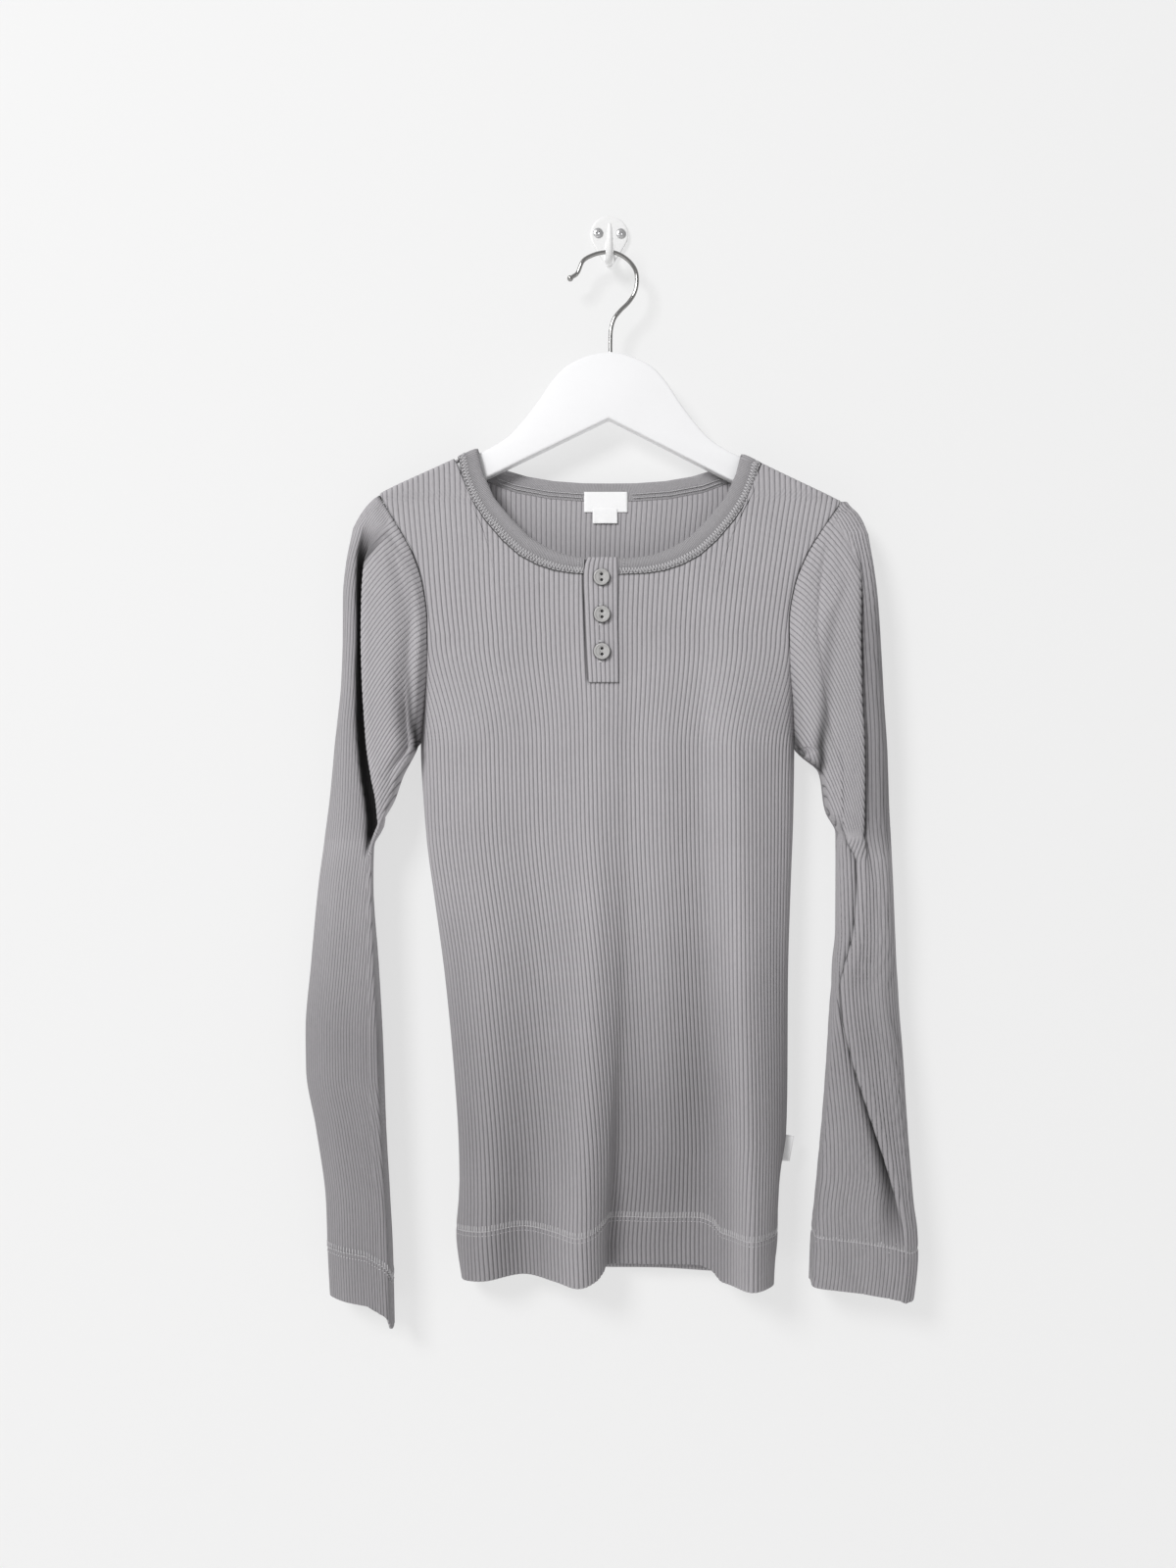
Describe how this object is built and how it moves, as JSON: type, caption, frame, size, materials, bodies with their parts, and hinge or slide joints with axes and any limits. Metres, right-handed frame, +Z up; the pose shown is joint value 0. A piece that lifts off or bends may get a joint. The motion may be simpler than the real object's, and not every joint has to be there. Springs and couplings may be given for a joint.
{
  "type": "henley shirt on a hanger and wall hook",
  "caption": "Long-sleeved ribbed henley shirt with a neckband and a buttoned placket, hung on a wooden hanger from a wall hook.",
  "frame": {"origin": "centre of the back face of the wall hook's plate, on the wall", "axes": "+Z up, +X to the viewer's right as the shirt's front is seen, +Y into the wall"},
  "size_m": [0.4507, 0.0561, 0.8321],
  "materials": {
    "rib_knit": "mid-grey wide-rib cotton knit, matt",
    "neck_rib": "mid-grey fine rib trim, matt",
    "label_white": "white woven tape, bare",
    "button_grey": "pale grey, satin",
    "painted_wood": "wood with white satin paint",
    "bright_wire": "bright plated wire",
    "white_paint": "cast metal with white gloss paint",
    "screw_steel": "cross-head screws"
  },
  "bodies": {
    "root": {"body_front": "rib_knit", "body_back": "rib_knit", "sleeve_left": "rib_knit", "sleeve_right": "rib_knit", "neckband": "neck_rib", "placket": "rib_knit", "placket_under": "rib_knit", "button_1": "button_grey", "button_2": "button_grey", "button_3": "button_grey", "neck_label": "label_white", "size_tab": "label_white", "side_tab": "label_white", "hanger_wood": "painted_wood", "hanger_hook": "bright_wire", "wall_hook": "white_paint", "screw_left": "screw_steel", "screw_right": "screw_steel"}
  },
  "joints": []
}
